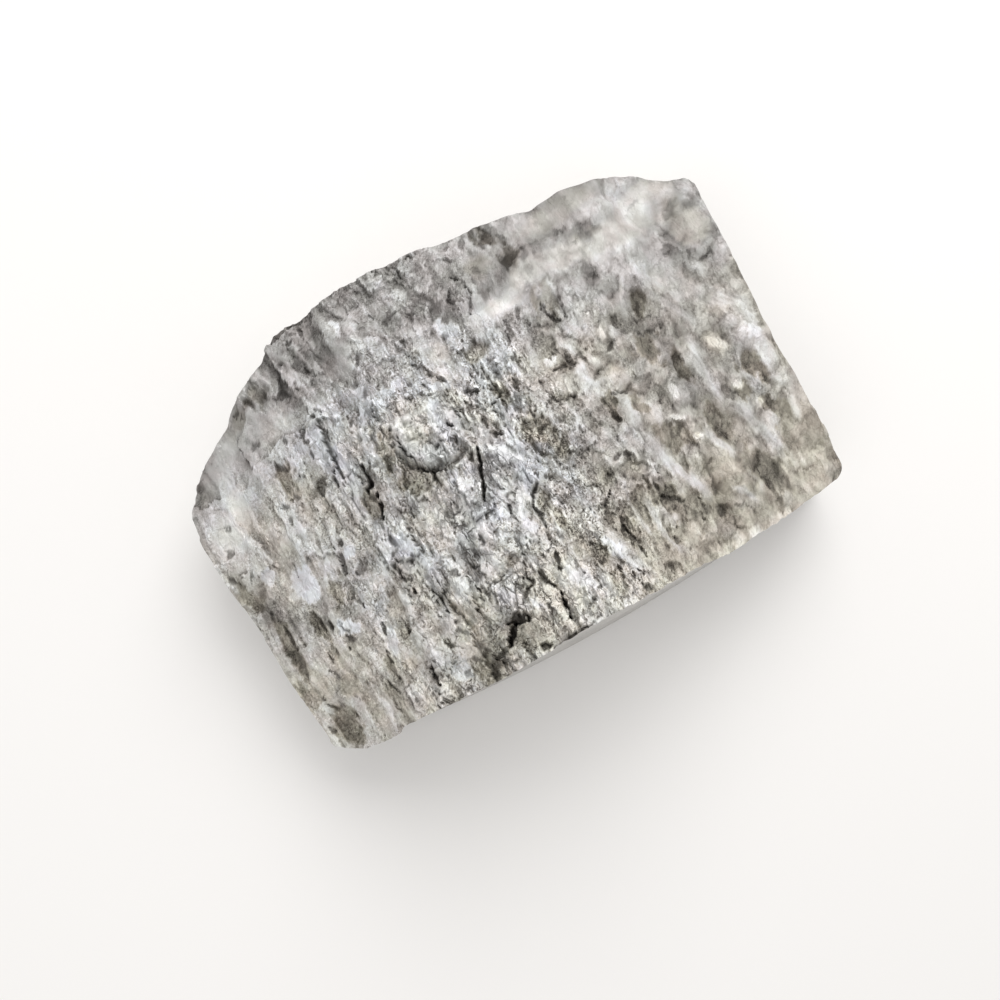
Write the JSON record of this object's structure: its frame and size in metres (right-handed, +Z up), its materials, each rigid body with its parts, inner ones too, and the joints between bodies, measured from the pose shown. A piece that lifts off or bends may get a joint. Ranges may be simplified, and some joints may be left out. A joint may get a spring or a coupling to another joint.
{
  "type": "aluminium ingot piece",
  "caption": "Broken-off end of a small cast aluminium ingot: smooth drafted mould walls and a flat cast end to stand on, with a rough, fibrous broken face on top.",
  "frame": {"origin": "middle of the bounding box's bottom face, on the flat cast end that the piece stands on", "axes": "+X across the ingot's width, +Y through its thickness from the open face (front) to the mould-floor face (back), +Z up along the ingot's length, towards the break"},
  "size_m": [0.0778, 0.0512, 0.0319],
  "materials": {
    "cast_aluminium": "as cast, dull grey on the mould walls; bright, grainy and flaky on the broken face"
  },
  "bodies": {
    "root": {"ingot_piece": "cast_aluminium"}
  },
  "joints": []
}
